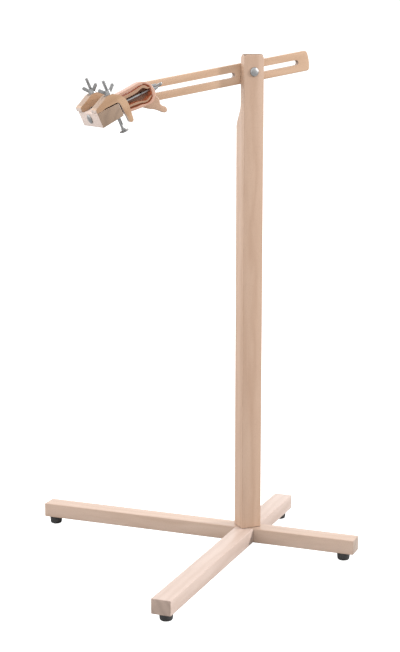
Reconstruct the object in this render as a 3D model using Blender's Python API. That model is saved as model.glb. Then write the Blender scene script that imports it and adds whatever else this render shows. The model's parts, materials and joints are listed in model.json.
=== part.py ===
"""Wooden floor stand with a tilting slotted arm and a clamp head for an embroidery frame.

Metres, +Z up. The arm runs along +X (its tail) and -X (the clamp head), and the front
of the stand faces -Y. Z = 0 is the floor under the rubber feet.
"""
import math

import bmesh
import bpy
from mathutils import Matrix, Vector

MM = 0.001

# ---- driving dimensions, millimetres -------------------------------------------------
SHIFT_X = 83.04           # moves the post's axis so that the box centre lies on X = 0

FOOT_R, FOOT_H = 12.0, 16.0
BEAM_W, BEAM_H = 36.0, 27.0
LAP_GAP = 0.3             # clearance between the two halves of the lap joint

POST_W, POST_D, POST_H = 39.0, 34.0, 880.0
POST_THIN = 16.0          # thickness of the rebated top
CROWN_CLIP, CROWN_EDGE = 6.5, 1.8             # the top's four corners are cut off and its rim chamfered
PIVOT_DROP = 31.8         # arm bolt below the post's top
REBATE_STRAIGHT = 57.0    # straight part of the rebate below the arm bolt
REBATE_CURVE = 44.0       # length of the curve that runs out to the full depth

ARM_TILT = 9.7            # degrees, tail up
ARM_W, ARM_T = 36.0, 12.0
ARM_RIGHT, ARM_CORNER = 120.0, 5.0
SLOT_R = 4.5
FRONT_SLOT = (-226.0, -30.5)
REAR_SLOT = (-13.0, 98.0)

HEAD_PITCH = 24.0         # degrees, block end down
HEAD_AT = -228.0          # origin of the clamp head's own frame, along the arm
PIN_AT = -218.5           # head pivot along the arm, centre of the arm's round end
TIE_W = 5.2               # tie bolt above the head frame's origin
HEAD_Y = -50.5            # middle plane of the clamp head
BLOCK_HALF = 49.0
LOOP_HALF = 10.5          # half the depth of the bent loop and its two strips
PLATE_T = 10.0            # thickness of the pivot plate with the thumb finger
SPACER_R = 16.0
JAW_WIDE = 27.0
FINGER_WIDE = 9.0         # a jaw narrows to this below the block

BOLT_R = 3.0              # M6
BORE_R = 3.35             # clearance hole in wood
NUT_BORE_R = 3.1
GAP = 0.3                 # gap between touching pieces
WASHER_T = 1.5

FLOOR_TO_TOP = FOOT_H + BEAM_H + POST_H
PIVOT_Z = FLOOR_TO_TOP - PIVOT_DROP
BEAM_TOP = FOOT_H + BEAM_H
THIN_BACK = -POST_D / 2 + POST_THIN           # back face of the thin top
ARM_Y0 = THIN_BACK + GAP
ARM_Y1 = ARM_Y0 + ARM_T


# ---- scene, materials ----------------------------------------------------------------
for old in list(bpy.data.objects):
    bpy.data.objects.remove(old)


def material(name, colour, roughness, metallic=0.0):
    mat = bpy.data.materials.new(name)
    mat.use_nodes = True
    shader = mat.node_tree.nodes["Principled BSDF"]
    shader.inputs["Base Color"].default_value = (*colour, 1.0)
    shader.inputs["Roughness"].default_value = roughness
    shader.inputs["Metallic"].default_value = metallic
    mat.diffuse_color = (*colour, 1.0)
    return mat


BEECH = material("beech", (0.66, 0.47, 0.32), 0.55)
ZINC = material("zinc_steel", (0.62, 0.62, 0.60), 0.35, 1.0)
RUBBER = material("black_rubber", (0.03, 0.03, 0.03), 0.75)


# ---- building blocks -----------------------------------------------------------------
def empty(name, location, tilt=0.0, parent=None):
    """A joint frame. tilt raises its +X end, in degrees."""
    frame = bpy.data.objects.new(name, None)
    frame.location = Vector(location) * MM
    frame.rotation_euler = (0, -math.radians(tilt), 0)
    frame.parent = parent
    bpy.context.scene.collection.objects.link(frame)
    return frame


def add(name, bm, mat, at=(0, 0, 0), turn=(0, 0, 0), parent=None, smooth=35):
    """Put a bmesh made in millimetres into the scene as one object."""
    bmesh.ops.scale(bm, vec=(MM, MM, MM), verts=bm.verts)
    bmesh.ops.recalc_face_normals(bm, faces=bm.faces)
    mesh = bpy.data.meshes.new(name)
    bm.to_mesh(mesh)
    bm.free()
    mesh.materials.append(mat)
    mesh.shade_smooth()
    mesh.set_sharp_from_angle(angle=math.radians(smooth))
    obj = bpy.data.objects.new(name, mesh)
    obj.location = Vector(at) * MM
    obj.rotation_euler = [math.radians(a) for a in turn]
    obj.parent = parent
    bpy.context.scene.collection.objects.link(obj)
    return obj


def prism(outline, low, high, axis="Y"):
    """Extrude an outline. For axis Y it is (x, z); for X it is (y, z); for Z it is (x, y)."""
    place = {"Y": lambda p, d: (p[0], d, p[1]),
             "X": lambda p, d: (d, p[0], p[1]),
             "Z": lambda p, d: (p[0], p[1], d)}[axis]
    bm = bmesh.new()
    face = bm.faces.new([bm.verts.new(place(p, low)) for p in outline])
    grown = bmesh.ops.extrude_face_region(bm, geom=[face])
    moved = [v for v in grown["geom"] if isinstance(v, bmesh.types.BMVert)]
    step = Vector(place((0, 0), high - low))
    bmesh.ops.translate(bm, vec=step, verts=moved)
    return bm


def turned(profile, steps=20):
    """Spin a profile of (radius, height) about Z. A radius of 0 closes it on the axis."""
    bm = bmesh.new()
    verts = [bm.verts.new((r, 0, z)) for r, z in profile]
    edges = [bm.edges.new(pair) for pair in zip(verts, verts[1:])]
    if profile[0][0] > 0 and profile[-1][0] > 0:
        edges.append(bm.edges.new((verts[-1], verts[0])))
    bmesh.ops.spin(bm, geom=verts + edges, cent=(0, 0, 0), axis=(0, 0, 1),
                   angle=math.tau, steps=steps, use_merge=True)
    bmesh.ops.remove_doubles(bm, verts=bm.verts, dist=1e-4)
    return bm


def bevel(obj, width, segments=2, angle=50):
    mod = obj.modifiers.new("bevel", "BEVEL")
    mod.width = width * MM
    mod.segments = segments
    mod.limit_method = "ANGLE"
    mod.angle_limit = math.radians(angle)
    mod.harden_normals = False
    return obj


def cut(obj, cutter, how="DIFFERENCE"):
    cutter.hide_render = True
    cutter.display_type = "WIRE"
    mod = obj.modifiers.new("cut", "BOOLEAN")
    mod.operation = how
    mod.solver = "EXACT"
    mod.object = cutter


def drill(obj, name, at, turn, radius, length, parent=None, steps=16):
    """Cut a round hole that starts at a point and runs along its own +Z."""
    tool = turned([(0, 0), (radius, 0), (radius, length), (0, length)], steps)
    cut(obj, add("tool_" + name, tool, ZINC, at, turn, parent))


def arc(cx, cy, radius, start, end, count):
    """Points on an arc, angles in degrees."""
    return [(cx + radius * math.cos(math.radians(start + (end - start) * i / count)),
             cy + radius * math.sin(math.radians(start + (end - start) * i / count)))
            for i in range(count + 1)]


def rounded(points, radius, count=4):
    """Round every corner of a closed polygon."""
    out = []
    for before, here, after in zip(points[-1:] + points[:-1], points, points[1:] + points[:1]):
        a, b, c = Vector(before), Vector(here), Vector(after)
        p, q = b + (a - b).normalized() * radius, b + (c - b).normalized() * radius
        for i in range(count + 1):
            t = i / count
            out.append(tuple(p * (1 - t) ** 2 + b * 2 * t * (1 - t) + q * t ** 2))
    return out


def flowing(points, per_span=3, closed=False):
    """A smooth run through points (Catmull-Rom)."""
    pts = [Vector(p) for p in points]
    n = len(pts)
    out = []
    for i in range(n if closed else n - 1):
        if closed:
            a, b, c, d = (pts[(i + k) % n] for k in (-1, 0, 1, 2))
        else:
            b, c = pts[i], pts[i + 1]
            a = pts[i - 1] if i else b * 2 - c
            d = pts[i + 2] if i + 2 < n else c * 2 - b
        for k in range(per_span):
            t = k / per_span
            out.append(tuple(0.5 * (2 * b + (c - a) * t + (2 * a - 5 * b + 4 * c - d) * t ** 2
                                    + (3 * b - a - 3 * c + d) * t ** 3)))
    if not closed:
        out.append(tuple(pts[-1]))
    return out


# ---- fasteners -----------------------------------------------------------------------
TO_FRONT = (90, 0, 0)      # own +Z along -Y
TO_BACK = (-90, 0, 0)      # own +Z along +Y
TO_RIGHT = (0, 90, 0)      # own +Z along +X
TO_LEFT = (0, -90, 0)      # own +Z along -X
DOWN = (180, 0, 0)         # own +Z along -Z


def carriage_bolt(name, head_face, tip, parent, at, turn, neck=0.0):
    """Dome-headed bolt on its own Z: the head's flat face at head_face, the tip below it.

    neck is the length of its square neck, for a bolt whose neck hangs free of the wood.
    """
    dome = [(8.25 * math.cos(math.radians(a)), head_face + 0.6 + 3.0 * math.sin(math.radians(a)))
            for a in (0, 32, 60)]
    profile = [(0, tip), (2.3, tip), (BOLT_R, tip + 0.9), (BOLT_R, head_face), (8.25, head_face)]
    profile += dome + [(0, head_face + 3.6)]
    bolt = add(name, turned(profile), ZINC, at, turn, parent)
    if neck:
        side = [(-BOLT_R, -BOLT_R), (BOLT_R, -BOLT_R), (BOLT_R, BOLT_R), (-BOLT_R, BOLT_R)]
        square = prism([(x * 1.02, y * 1.02) for x, y in side], head_face - neck, head_face + 1, "Z")
        cut(bolt, add("tool_neck_" + name, square, ZINC, at, turn, parent), "UNION")
    return bolt


def washer(name, parent, at, turn, outer=8.0, thick=WASHER_T, hole=3.25):
    ring = [(hole, 0), (outer, 0), (outer, thick), (hole, thick)]
    return add(name, turned(ring), ZINC, at, turn, parent)


def wing_nut(name, parent, at, turn, spin, reach=15.0):
    """Hub with a bore and two rounded wings that spread in a V. Its base is at its origin.

    spin turns it about its own axis, in degrees. reach is the length of a wing.
    """
    hub = [(0, 0), (6.4, 0), (6.2, 2.0), (4.7, 9.0), (0, 9.0)]
    nut = add(name, turned(hub, 20), ZINC, at, turn, parent)
    lean = math.radians(45)
    side = Vector((math.sin(lean), math.cos(lean)))
    across = Vector((math.cos(lean), -math.sin(lean)))
    root, half = Vector((1.2, 2.2)), 3.1
    tip = root + side * reach
    angle = math.degrees(math.atan2(across.y, across.x))
    right = [tuple(root + across * half)]
    right += arc(tip.x, tip.y, half, angle, angle + 180, 6)
    right += [tuple(root - across * half)]
    keep = [p for p in right if p[0] > 0.4]
    outline = keep + [(-x, z) for x, z in reversed(keep)]
    tabs = prism(outline, -1.4, 1.4, "Y")
    bmesh.ops.rotate(tabs, verts=tabs.verts, cent=(0, 0, 0),
                     matrix=Matrix.Rotation(math.radians(spin), 3, "Z"))
    wings = add("tool_wings_" + name, tabs, ZINC, at, turn, parent)
    cut(nut, wings, "UNION")
    bore = turned([(0, -1), (NUT_BORE_R, -1), (NUT_BORE_R, 30), (0, 30)], 20)
    cut(nut, add("tool_bore_" + name, bore, ZINC, at, turn, parent))
    return nut


# ---- base: two lapped beams on rubber feet --------------------------------------------
base = empty("base_frame", (SHIFT_X, 0, 0))

BEAMS = {
    # name: (direction of the long leg in degrees, keeps the upper half of the lap,
    #        {leg: (its length, its foot's centre from the beam's end)})
    "base_beam_left": (135.0, True, {"long": (423.0, 17.0), "short": (213.5, 24.0)}),
    "base_beam_front": (225.0, False, {"long": (421.0, 24.0), "short": (217.0, 24.0)}),
}
LAP_Z = FOOT_H + BEAM_H / 2
MOUNT_R = 11.0             # the two alignment dowels from the post's axis

for name, (heading, upper, legs) in BEAMS.items():
    far_end, near_end = legs["long"][0], -legs["short"][0]
    outline = rounded([(near_end, -BEAM_W / 2), (far_end, -BEAM_W / 2),
                       (far_end, BEAM_W / 2), (near_end, BEAM_W / 2)], 2.5, 2)
    beam = add(name, prism(outline, FOOT_H, BEAM_TOP, "Z"), BEECH, turn=(0, 0, heading), parent=base)
    bevel(beam, 1.5)
    half = BEAM_W / 2 + LAP_GAP / 2
    low, high = (FOOT_H - 5, LAP_Z + LAP_GAP / 2) if upper else (LAP_Z - LAP_GAP / 2, BEAM_TOP + 5)
    notch = prism([(-half, -60), (half, -60), (half, 60), (-half, 60)], low, high, "Z")
    cut(beam, add("tool_lap_" + name, notch, BEECH, turn=(0, 0, heading), parent=base))
    drill(beam, "bolt_" + name, (0, 0, FOOT_H - 5), (0, 0, 0), 4.4, 60, base)
    if not upper:
        drill(beam, "counterbore", (0, 0, FOOT_H - 5), (0, 0, 0), 12.0, 13.0, base, 32)
    for spot, (length, inset) in legs.items():
        a = math.radians(heading if spot == "long" else heading + 180)
        x, y = (length - inset) * math.cos(a), (length - inset) * math.sin(a)
        label = name.replace("base_beam_", "") + "_" + spot
        foot = [(2.4, FOOT_H - GAP), (2.4, 9.5), (6.2, 9.5), (6.2, 0), (9.4, 0),
                (11.2, 1.6), (FOOT_R, FOOT_H - GAP)]
        add("foot_" + label, turned(foot), RUBBER, (x, y, 0), parent=base)
        screw = [(0, 6.2), (3.2, 6.6), (4.6, 9.2), (2.0, 9.2), (2.0, 28.0), (0, 31.0)]
        add("foot_screw_" + label, turned(screw, 12), ZINC, (x, y, 0), parent=base)
        drill(beam, "pilot_" + label, (x, y, FOOT_H - 4), (0, 0, 0), 2.3, 20, base, 12)
    if upper:
        for sign in (1, -1):
            drill(beam, "dowel_hole_%d" % sign, (sign * MOUNT_R, 0, 31.2), (0, 0, 0), 4.3, 30, base, 20)

# ---- post ----------------------------------------------------------------------------
front, back = -POST_D / 2, POST_D / 2
bottom = BEAM_TOP + GAP
shoulder = PIVOT_Z - REBATE_STRAIGHT
run = [(THIN_BACK + (back - THIN_BACK) * (3 * t * t - 2 * t ** 3), shoulder - REBATE_CURVE * t)
       for t in [i / 12 for i in range(13)]]
side = [(front, bottom), (front, FLOOR_TO_TOP), (THIN_BACK, FLOOR_TO_TOP)] + run + [(back, bottom)]
bm = prism(side, -POST_W / 2, POST_W / 2, "X")
crown = [v for v in bm.verts if abs(v.co.z - FLOOR_TO_TOP) < 1e-3]
bmesh.ops.bevel(bm, geom=crown, offset=CROWN_CLIP, segments=1, affect="VERTICES", profile=0.5)
rim = [e for e in bm.edges if all(abs(v.co.z - FLOOR_TO_TOP) < 1e-3 for v in e.verts)]
bmesh.ops.bevel(bm, geom=rim, offset=CROWN_EDGE, segments=1, affect="EDGES", profile=0.5)
post = add("post", bm, BEECH, parent=base)
bevel(post, 1.1, 2, 38)
drill(post, "post_bore", (0, 30, PIVOT_Z), TO_FRONT, BORE_R, 60, base)
drill(post, "post_socket", (0, 0, BEAM_TOP - 5), (0, 0, 0), 6.4, 28, base)
for sign in (1, -1):
    drill(post, "post_dowel_%d" % sign, (sign * MOUNT_R, 0, BEAM_TOP - 5), (0, 0, 0), 4.3, 21, base, 20)

# ---- base fasteners ------------------------------------------------------------------
hexagon = [(7.5 * math.cos(math.radians(60 * i)), 7.5 * math.sin(math.radians(60 * i))) for i in range(6)]
bolt = add("base_bolt", prism(hexagon, 16.6, 21.8, "Z"), ZINC, parent=base)
shank = turned([(0, 21), (4.0, 21), (4.0, 60.5), (3.2, 61.4), (0, 61.4)], 20)
cut(bolt, add("tool_base_shank", shank, ZINC, parent=base), "UNION")
washer("base_washer", base, (0, 0, 22.1), (0, 0, 0), 10.5, 1.6, 4.3)
sleeve = [(4.25, 45.0), (6.1, 45.0), (6.1, 60.0), (4.25, 60.0)]
add("base_insert", turned(sleeve, 20), ZINC, parent=base)
for label, sign in (("right", 1), ("left", -1)):
    peg = [(0, 31.5), (3.3, 31.5), (4.0, 32.5), (4.0, 57.2), (3.3, 58.2), (0, 58.2)]
    add("base_dowel_" + label, turned(peg, 16), BEECH, (sign * MOUNT_R, 0, 0), parent=base)

# ---- arm bolt ------------------------------------------------------------------------
pivot = empty("arm_frame", (SHIFT_X, 0, PIVOT_Z), ARM_TILT)
pivot_still = empty("arm_bolt_frame", (SHIFT_X, 0, PIVOT_Z))
carriage_bolt("post_bolt", -front + GAP, -34.0, pivot_still, (0, 0, 0), TO_FRONT)
washer("post_washer", pivot, (0, ARM_Y1 + GAP, 0), TO_BACK, 9.0)
wing_nut("post_wing_nut", pivot_still, (0, ARM_Y1 + 2 * GAP + WASHER_T, 0), TO_BACK, 20, 17.0)

# ---- slotted arm ---------------------------------------------------------------------
half = ARM_W / 2
tail, side = ARM_RIGHT - ARM_CORNER, half - ARM_CORNER
bar = arc(tail, -side, ARM_CORNER, -90, 0, 4) + arc(tail, side, ARM_CORNER, 0, 90, 4)
bar += arc(PIN_AT, 0, half, 90, 270, 14)
arm = add("arm_bar", prism(bar, ARM_Y0, ARM_Y1), BEECH, parent=pivot)
bevel(arm, 1.0)
for label, (start, stop) in (("front", FRONT_SLOT), ("rear", REAR_SLOT)):
    slot = arc(stop - SLOT_R, 0, SLOT_R, -90, 90, 10) + arc(start + SLOT_R, 0, SLOT_R, 90, 270, 10)
    cut(arm, add("tool_slot_" + label, prism(slot, ARM_Y0 - 5, ARM_Y1 + 5), BEECH, parent=pivot))

# ---- clamp head ----------------------------------------------------------------------
# Everything here is in the head's own frame: u along the tie bolt, w across it.
tilt = math.radians(ARM_TILT)
swing = math.radians(HEAD_PITCH - ARM_TILT)
PIN_U, PIN_W = (PIN_AT - HEAD_AT) * math.cos(swing), (HEAD_AT - PIN_AT) * math.sin(swing)
head = empty("head_frame", (SHIFT_X + HEAD_AT * math.cos(tilt), 0, PIVOT_Z + HEAD_AT * math.sin(tilt)),
             HEAD_PITCH)

# Clamp block. Its grain runs across, so its near end shows end grain.
LOOP_NEAR, LOOP_FAR = HEAD_Y - LOOP_HALF, HEAD_Y + LOOP_HALF
BLOCK_NEAR, BLOCK_FAR = HEAD_Y - BLOCK_HALF, HEAD_Y + BLOCK_HALF
BLOCK_FRONT, BLOCK_REAR, BLOCK_TOP = -104.0, -62.5, 16.3
outline = [(BLOCK_FRONT, -9.7), (BLOCK_REAR, -6.0), (BLOCK_REAR, BLOCK_TOP), (BLOCK_FRONT, BLOCK_TOP)]
block = add("clamp_block", prism(outline, BLOCK_NEAR, BLOCK_FAR), BEECH, parent=head)
bevel(block, 0.9)
drill(block, "tie_bore", (BLOCK_FRONT - 5, HEAD_Y, TIE_W), TO_RIGHT, BORE_R, 60, head)

JAWS = {
    # label: (its two side faces, how far its crown is moved along and up, its bolt's place along
    #         the head, its bolt's head and tip, the turn of its wing nut)
    "near": (BLOCK_NEAR, BLOCK_NEAR + JAW_WIDE, 0.0, 0.0, -68.5, -31.0, 59.6, -5.0),
    "far": (BLOCK_FAR - JAW_WIDE, BLOCK_FAR, -1.5, 2.0, -71.5, -21.0, 64.0, -45.0),
}
JAW_BORE_R = 3.6
JAW_SEAT = 31.6            # flat pocket for the washer in the jaw's crown
BOLT_NECK = 4.0
for label, (y0, y1, shift, rise, bolt_u, bolt_head, bolt_tip, spin) in JAWS.items():
    mid = (y0 + y1) / 2
    drill(block, "clamp_bore_" + label, (bolt_u, mid, -20), (0, 0, 0), JAW_BORE_R, 60, head)
    # A cane-shaped jaw: its toe rests on the block's front, its heel hooks down behind it.
    over = [(-104.0, 22.4), (-101.0, 24.3), (-94.0, 27.2), (-86.1, 30.9), (-80.5, 33.6), (-75.2, 35.0),
            (-70.5, 35.2), (-65.6, 34.3), (-58.0, 30.2), (-50.6, 22.6), (-47.3, 13.2), (-46.8, 4.6),
            (-48.0, -7.6), (-49.2, -17.4)]
    finger = arc(-53.4, -17.6, 4.2, 0, -170, 7)
    inner = [(-58.0, -8.0), (-59.2, 0.0), (-59.8, 8.6), (-60.7, 14.0), (-62.0, 17.0), (-65.0, 18.5)]
    under = [(-76.0, 18.6), (-88.0, 18.3), (-94.0, BLOCK_TOP + GAP), (-103.4, BLOCK_TOP + GAP)]
    raised = [(u + shift, w + rise) for u, w in flowing(over, 2)[:-1] + finger + flowing(inner, 2)]
    jaw = add("jaw_" + label, prism(raised + under + [(-104.3 + shift, 18.0)], y0, y1), BEECH, parent=head)
    # the finger is narrow: a wedge is cut away from the side that faces the other jaw
    wedge = [(y0 + FINGER_WIDE, -40), (y0 + FINGER_WIDE, -8), (y0 + FINGER_WIDE + 2, -1), (y1 - 5, 10),
             (y1 + 5, 13), (y1 + 5, -40)]
    if label == "far":
        wedge = [(y0 + y1 - y, w) for y, w in wedge]
    cut(jaw, add("tool_wedge_" + label, prism(wedge, -64.5, -40, "X"), BEECH, (0, 0, rise), parent=head))
    bevel(jaw, 1.0, 1, 60)
    drill(jaw, "jaw_bore_" + label, (bolt_u, mid, 0), (0, 0, 0), JAW_BORE_R, 60, head)
    drill(jaw, "jaw_seat_" + label, (bolt_u, mid, JAW_SEAT + rise), (0, 0, 0), 9.4, 20, head)
    carriage_bolt("clamp_bolt_" + label, -bolt_head, -bolt_tip, head, (bolt_u, mid, 0), DOWN, BOLT_NECK)
    seat = JAW_SEAT + rise + GAP
    washer("clamp_washer_" + label, head, (bolt_u, mid, seat), (0, 0, 0), 8.5)
    wing_nut("clamp_wing_nut_" + label, head, (bolt_u, mid, seat + GAP + WASHER_T), (0, 0, 0), spin)

# Outer spring loop: a bent strip, open towards the block, its round end around the tie bolt.
SEAT = BLOCK_REAR + GAP
outer = flowing([(SEAT, 18.8), (-54.0, 21.2), (-43.7, 23.2), (-23.0, 24.0), (-10.0, 24.9), (-2.5, 25.2),
                 (6.7, 23.2), (14.1, 17.5), (17.2, 11.6), (18.7, 3.0), (17.4, -4.6), (13.8, -10.2),
                 (8.3, -14.4), (1.4, -15.9), (-13.2, -15.1), (-27.8, -13.8), (-36.0, -12.6),
                 (-48.0, -10.8), (SEAT, -8.4)], 2)
hollow = flowing([(SEAT, -4.2), (-46.0, -6.9), (-33.5, -8.7), (-22.7, -9.7), (-12.9, -10.2), (-7.3, -11.6),
                  (-1.5, -12.4), (4.2, -11.2), (8.6, -8.3), (11.0, -5.6), (11.6, -2.6), (12.5, 1.6),
                  (13.2, 6.6), (13.5, 10.6), (12.2, 13.8), (9.8, 16.4), (5.9, 19.9), (1.5, 21.4),
                  (-3.6, 21.2), (-20.7, 19.2), (-37.6, 18.9), (-46.0, 17.8), (SEAT, 13.6)], 2)
loop = add("outer_loop", prism(outer + hollow, LOOP_NEAR, LOOP_FAR), BEECH, parent=head)
bevel(loop, 0.5, 1, 60)
NUT_SEAT = 17.6            # flat on the loop's round end, for the tie bolt's washer
drill(loop, "loop_bore", (8, HEAD_Y, TIE_W), TO_RIGHT, BORE_R, 20, head)
drill(loop, "loop_seat", (NUT_SEAT, HEAD_Y, TIE_W), TO_RIGHT, 9.6, 10, head, 28)

# Inner spring strips: each follows the outer loop across a narrow saw kerf.
upper = flowing([(SEAT, 12.0), (-46.0, 15.2), (-37.6, 16.5), (-20.7, 16.8), (-3.6, 18.8), (1.5, 18.9),
                 (5.3, 17.3), (8.0, 13.9), (9.6, 12.0), (12.6, 11.3)], 2)
upper += flowing([(12.9, 10.2), (10.9, 9.5), (7.7, 9.5), (4.4, 11.6), (1.2, 14.1), (-3.0, 14.5),
                  (-7.9, 13.3), (-13.6, 11.8), (-23.8, 11.2), (-33.2, 10.9), (-46.0, 10.2), (SEAT, 8.9)], 2)
lower = flowing([(SEAT, 1.0), (-45.0, -0.6), (-31.6, -1.8), (-20.1, -2.5), (-11.0, -4.4), (-5.8, -6.5),
                 (-0.8, -6.8), (3.9, -4.9), (7.8, -3.2), (10.2, -3.0)], 2)
lower += flowing([(10.3, -4.2), (7.2, -6.0), (2.9, -8.6), (-2.1, -9.8), (-6.9, -9.2), (-12.4, -7.5),
                  (-21.8, -6.3), (-32.6, -5.4), (-46.0, -4.0), (SEAT, -2.2)], 2)
for label, shape in (("upper", upper), ("lower", lower)):
    strip = add("inner_strip_" + label, prism(shape, LOOP_NEAR, LOOP_FAR), BEECH, parent=head)
    bevel(strip, 0.4, 1, 60)

# Tie bolt through the block, between the strips and through the loop's round end.
carriage_bolt("tie_bolt", -BLOCK_FRONT + GAP, -37.6, head, (0, HEAD_Y, TIE_W), TO_LEFT)
washer("tie_washer", head, (NUT_SEAT + GAP, HEAD_Y, TIE_W), TO_RIGHT)
wing_nut("tie_wing_nut", head, (NUT_SEAT + 2 * GAP + WASHER_T, HEAD_Y, TIE_W), TO_RIGHT, 75)

# Pivot plate with a thumb finger behind the loop, a round spacer behind the plate, and the
# bolt that holds both to the arm, its head between the two.
PLATE_NEAR = LOOP_FAR + GAP
PLATE_FAR = PLATE_NEAR + PLATE_T
plate = [(-4.2, -20.6), (5.0, -27.6), (14.2, -33.0), (20.7, -38.6), (25.0, -43.2), (29.6, -45.2),
         (33.8, -42.4), (33.6, -36.8), (28.6, -32.0), (26.4, -27.0), (27.6, -19.6), (25.4, -12.3),
         (22.6, -4.0), (21.6, 4.0), (17.0, 12.0), (8.0, 17.0), (-10.0, 16.5), (-30.0, 14.0),
         (-49.0, 9.5), (-52.0, 0.0), (-49.0, -8.0), (-30.0, -11.0), (-13.0, -13.5)]
pivot_block = add("pivot_block", prism(flowing(plate, 2, True), PLATE_NEAR, PLATE_FAR), BEECH, parent=head)
bevel(pivot_block, 1.0, 1, 60)
RECESS = 4.3               # the bolt's head sits in the spacer, under the plate
SPACER_H = ARM_Y0 - GAP - (PLATE_FAR + GAP)
spacer = turned([(BORE_R, RECESS), (9.0, RECESS), (9.0, 0), (SPACER_R - 0.8, 0), (SPACER_R, 0.8),
                 (SPACER_R, SPACER_H - 0.8), (SPACER_R - 0.8, SPACER_H), (BORE_R, SPACER_H)], 30)
add("pivot_spacer", spacer, BEECH, (PIN_U, PLATE_FAR + GAP, PIN_W), TO_BACK, head)
carriage_bolt("pivot_bolt", -(PLATE_FAR + RECESS), -31.0, head, (PIN_U, 0, PIN_W), TO_FRONT)
washer("pivot_washer", head, (PIN_U, ARM_Y1 + GAP, PIN_W), TO_BACK, 9.0)
wing_nut("pivot_wing_nut", head, (PIN_U, ARM_Y1 + 2 * GAP + WASHER_T, PIN_W), TO_BACK, 63, 17.0)
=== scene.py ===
"""Looks of the wooden embroidery-frame stand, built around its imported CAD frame.

Shapes are drawn in millimetres in the local frame of the member that they belong to (along
the post, along the arm, along the clamp head) and placed by the record's joints.
"""
import json
import math

import bmesh
import bpy
from mathutils import Matrix, Vector


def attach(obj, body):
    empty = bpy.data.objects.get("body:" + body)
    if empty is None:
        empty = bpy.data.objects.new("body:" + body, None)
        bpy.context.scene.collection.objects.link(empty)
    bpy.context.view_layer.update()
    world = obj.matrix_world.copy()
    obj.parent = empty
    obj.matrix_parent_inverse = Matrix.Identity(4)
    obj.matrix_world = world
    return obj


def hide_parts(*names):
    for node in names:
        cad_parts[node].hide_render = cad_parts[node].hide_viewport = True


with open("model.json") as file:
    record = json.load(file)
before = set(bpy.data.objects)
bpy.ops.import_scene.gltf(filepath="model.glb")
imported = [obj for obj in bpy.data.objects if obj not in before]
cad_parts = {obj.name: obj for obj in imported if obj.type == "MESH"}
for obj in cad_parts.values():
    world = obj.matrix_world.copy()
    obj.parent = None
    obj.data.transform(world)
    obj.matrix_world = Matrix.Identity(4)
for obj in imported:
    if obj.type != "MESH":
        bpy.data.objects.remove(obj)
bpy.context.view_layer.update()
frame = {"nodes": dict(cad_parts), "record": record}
JOINTS = {j["name"]: j for j in frame["record"]["behaviour"]["joints"]}
MM = 0.001

# ---- dimensions shared with the CAD, millimetres --------------------------------------
FOOT_R, FOOT_H = 12.0, 16.0
BEAM_W, BEAM_H = 36.0, 27.0
POST_W, POST_D, POST_H = 39.0, 34.0, 880.0
POST_THIN, CROWN_CLIP, CROWN_EDGE = 16.0, 6.5, 1.8
PIVOT_DROP = 31.8
REBATE_STRAIGHT, REBATE_CURVE = 57.0, 44.0
ARM_W, ARM_T = 36.0, 12.0
ARM_RIGHT, ARM_CORNER = 120.0, 5.2
# the tail's slightly convex end: its radius, how far it stays inside the CAD's end, and how
# far the centres of its corners stand back from that end
TAIL_R, TAIL_INSET, TAIL_EASE = 66.0, 0.3, 6.9
# head pivot along the arm, and its distance from the origin of the head's own frame
PIN_AT, PIN_SHIFT = -218.5, 9.5
SLOT_R = 4.5
FRONT_SLOT, REAR_SLOT = (-226.0, -30.5), (-13.0, 98.0)
TIE_W, HEAD_Y = 5.2, -50.5
BLOCK_HALF, LOOP_HALF, PLATE_T, SPACER_R = 49.0, 10.5, 10.0, 16.0
JAW_WIDE, FINGER_WIDE = 27.0, 9.0
BOLT_R, BORE_R, NUT_BORE_R = 3.0, 3.35, 3.1
GAP, WASHER_T = 0.3, 1.5
THROUGH, OVERCUT = 60.0, 5.0       # length of a through hole; how far a cut starts outside the wood
BEAM_TOP = FOOT_H + BEAM_H
FLOOR_TO_TOP = BEAM_TOP + POST_H
PIVOT_Z = FLOOR_TO_TOP - PIVOT_DROP
THIN_BACK = -POST_D / 2 + POST_THIN
ARM_Y0 = THIN_BACK + GAP
ARM_Y1 = ARM_Y0 + ARM_T

# ---- local frames, from the record's joints -------------------------------------------
tilt_pos = Vector(JOINTS["arm_tilt"]["pos_m"])
pin_pos = Vector(JOINTS["head_pitch"]["pos_m"])


def tilted(origin, along):
    """A frame at a point whose X runs along a direction in the XZ plane."""
    return Matrix.Translation(origin) @ Matrix.Rotation(-math.atan2(along[2], along[0]), 4, "Y")


BASE = Matrix.Translation((tilt_pos.x, 0, 0))
ARM = tilted(tilt_pos, -Vector(JOINTS["arm_slide"]["axis"]))
ARM_BOLT = Matrix.Translation(tilt_pos)
TIE_AXIS = Vector(JOINTS["tie_nut_spin"]["axis"])
ARM_AXIS = -Vector(JOINTS["arm_slide"]["axis"])
swing = math.atan2(TIE_AXIS.z, TIE_AXIS.x) - math.atan2(ARM_AXIS.z, ARM_AXIS.x)
PIN_U, PIN_W = PIN_SHIFT * math.cos(swing), -PIN_SHIFT * math.sin(swing)
HEAD = tilted(pin_pos, TIE_AXIS) @ Matrix.Translation(Vector((-PIN_U, 0, -PIN_W)) * MM)


def turn(x=0, y=0, z=0):
    return (Matrix.Rotation(math.radians(z), 4, "Z") @ Matrix.Rotation(math.radians(y), 4, "Y")
            @ Matrix.Rotation(math.radians(x), 4, "X"))


TO_FRONT, TO_BACK, TO_RIGHT, TO_LEFT, DOWN = turn(90), turn(-90), turn(0, 90), turn(0, -90), turn(180)


def at(parent, point, rotation=None):
    """A frame inside another one, its place in millimetres."""
    place = parent @ Matrix.Translation(Vector(point) * MM)
    return place @ rotation if rotation else place


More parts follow.
